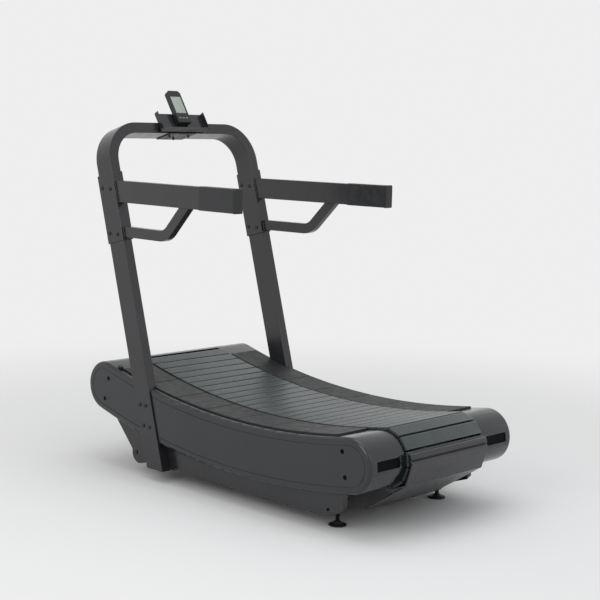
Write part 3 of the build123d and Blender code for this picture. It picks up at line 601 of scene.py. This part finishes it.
def wheels():
    for side in ("left", "right"):
        node = "transport_wheel_" + side
        low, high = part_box(node)
        mid, half, rim = (low + high) / 2, (high.y - low.y) / 2, (high.x - low.x) / 2
        face = [(6.1 * MM, half), (12 * MM, half), (13 * MM, half - 2 * MM),
                (rim - 10 * MM, half - 3 * MM), (rim - 8 * MM, half - 0.5 * MM),
                (rim - 4 * MM, half - 0.4 * MM), (rim - 1 * MM, half - 3 * MM),
                (rim, half - 6 * MM)]
        groove = [(rim, 2 * MM), (rim - 1.4 * MM, 1.2 * MM)]
        half_profile = face + groove
        profile = half_profile + [(r, -h) for r, h in reversed(half_profile)]
        bm = bmesh.new()
        lathe(bm, profile, along_y(mid), 64)
        stand_for(new_piece(node + "_turned", smooth(bm, node + "_turned", 35)), node)


def bearings():
    """Sealed ball bearing with its bolt head, at each guide bearing."""
    bm = bmesh.new()
    for points in islands("guide_bearings"):
        mid, size = centre(points)
        r, h = size.x / 2, size.y / 2
        profile = [(4 * MM, h - 0.2 * MM), (7 * MM, h - 0.2 * MM), (7.4 * MM, h - 0.9 * MM),
                   (r - 3.6 * MM, h - 0.9 * MM), (r - 3 * MM, h), (r - 0.8 * MM, h),
                   (r, h - 0.8 * MM)]
        profile += [(radius, -height) for radius, height in reversed(profile)]
        lathe(bm, profile, along_y(mid), 28)
    name = "guide_bearings_turned"
    stand_for(new_piece(name, smooth(bm, name, 35)), "guide_bearings")


def knob():
    joint = JOINT["side_knob_turn"]
    turned = Vector(joint["axis"]).to_track_quat("Z", "Y").to_matrix().to_4x4()
    r, h = KNOB_R, KNOB_HALF
    profile = [(r * 0.8, -h), (r * 0.97, -h + 1 * MM), (r, h - 3 * MM), (r * 0.94, h - 1 * MM),
               (r * 0.8, h - 0.2 * MM), (r * 0.62, h), (r * 0.55, h - 0.9 * MM),
               (r * 0.1, h - 0.9 * MM)]
    bm = bmesh.new()
    lathe(bm, profile, Matrix.Translation(joint["pos_m"]) @ turned, 96, knob_flutes)
    stand_for(new_piece("side_knob_turned", smooth(bm, "side_knob_turned", 35)), "side_knob")


# ---------------------------------------------------------------- welds
WELD_SIDES = 8
ROOT_LENGTH = 40 * MM                   # stretch of a tube that counts as its end at the sleeve
RAY_START = 0.4                         # how far behind that end the rays to the sleeve start


def weld(name, loop, radius=2.6 * MM, ripple=3.2 * MM):
    """Rippled bead along a closed loop of points."""
    bm = bmesh.new()
    spots = []
    for a, b in zip(loop, loop[1:] + loop[:1]):
        count = max(1, round((b - a).length / (ripple / 4)))
        spots += [a.lerp(b, k / count) for k in range(count)]
    rings = []
    total = len(spots)
    for k, spot in enumerate(spots):
        ahead = (spots[(k + 1) % total] - spots[k - 1]).normalized()
        side = ahead.orthogonal().normalized()
        over = ahead.cross(side)
        r = radius * (0.86 + 0.14 * abs(math.sin(math.pi * k / 4)))
        rings.append([bm.verts.new(spot + (side * math.cos(t) + over * math.sin(t)) * r)
                      for t in (2 * math.pi * j / WELD_SIDES for j in range(WELD_SIDES))])
    for k in range(total):
        low, high = rings[k], rings[(k + 1) % total]
        turn = min(range(WELD_SIDES), key=lambda j: (high[j].co - low[0].co).length)
        for j in range(WELD_SIDES):
            after = (j + 1) % WELD_SIDES
            bm.faces.new((low[j], low[after], high[(after + turn) % WELD_SIDES],
                          high[(j + turn) % WELD_SIDES]))
    piece = new_piece(name, smooth(bm, name, 60))
    shade(piece, FINISH["frame_paint"])
    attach(piece, "frame")


def rounded_loop(y0, y1, z0, z1, r, x):
    """Points of a rounded rectangle in the YZ plane."""
    loop = []
    corners = ((y1 - r, z1 - r, 0), (y0 + r, z1 - r, 90), (y0 + r, z0 + r, 180),
               (y1 - r, z0 + r, 270))
    for cy, cz, start in corners:
        for k in range(5):
            t = math.radians(start + 22.5 * k)
            loop.append(Vector((x, cy + r * math.cos(t), cz + r * math.sin(t))))
    return loop


def tube_welds():
    """Beads where the handrails and braces meet the sleeves."""
    tree = BVHTree.FromObject(frame["nodes"]["sleeves"], bpy.context.evaluated_depsgraph_get())
    for side in ("left", "right"):
        for kind in ("handrail", "brace"):
            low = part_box("%s_%s" % (kind, side))[0]
            root = [p for p in islands("%s_%s" % (kind, side))[0] if p.x < low.x + ROOT_LENGTH]
            mid, size = centre(root)
            loop = rounded_loop(mid.y - size.y / 2, mid.y + size.y / 2,
                                mid.z - size.z / 2, mid.z + size.z / 2, 3 * MM, 0)
            seam = []
            for point in loop:
                start = Vector((low.x + RAY_START, point.y, point.z))
                hit = tree.ray_cast(start, Vector((-1, 0, 0)))[0]
                if hit:
                    seam.append(hit)
            if len(seam) > 8:
                weld("%s_weld_%s" % (kind, side), seam)


# ---------------------------------------------------------------- everything else
# Edge rounding of each softened CAD piece, in millimetres.
SOFT_RADIUS = {
    "upright_left": 6, "upright_right": 6, "arch_tube": 6, "sleeves": 3, "brace_left": 4,
    "brace_right": 4, "handrail_left": 1, "handrail_right": 1, "grips": 1, "handrail_caps": 0.8,
    "side_cover_left": 0.8, "side_cover_right": 0.8, "side_panels": 0.7, "front_cover": 1,
    "rear_cover": 1.2, "rear_inserts": 1, "skirt_left": 1, "skirt_right": 1, "phone_tray": 0.8,
    "display_housing": 1, "button_left": 1.2, "button_middle": 1.2, "button_right": 1.2,
    "display_screen": 0.4, "tray_clamp": 0.8, "frame_bolts": 0.4, "cover_screws": 0.6,
    "foot_nuts": 0.6, "base_beams": 2, "cross_members": 2, "deck_posts": 1, "bearing_rails": 0.8,
    "shaft_bearings": 1, "wheel_axles": 0.5, "rear_pulleys": 0.8, "front_pulleys": 0.8,
    "upright_caps": 1,
}


def soft_pieces():
    for node, radius in SOFT_RADIUS.items():
        softened(node, radius * MM)


def plain_nodes():
    """CAD pieces whose shape is right take their finish as they are."""
    for node in ("rear_shaft", "front_shaft", "belts_top_run", "belts_rear_turn",
                 "belts_return_run", "belts_front_turn"):
        shade(frame["nodes"][node], FINISH[SLOT_OF[node]])


camera()
studio()
slats()
foot_boards()
feet()
wheels()
bearings()
knob()
tube_welds()
soft_pieces()
plain_nodes()
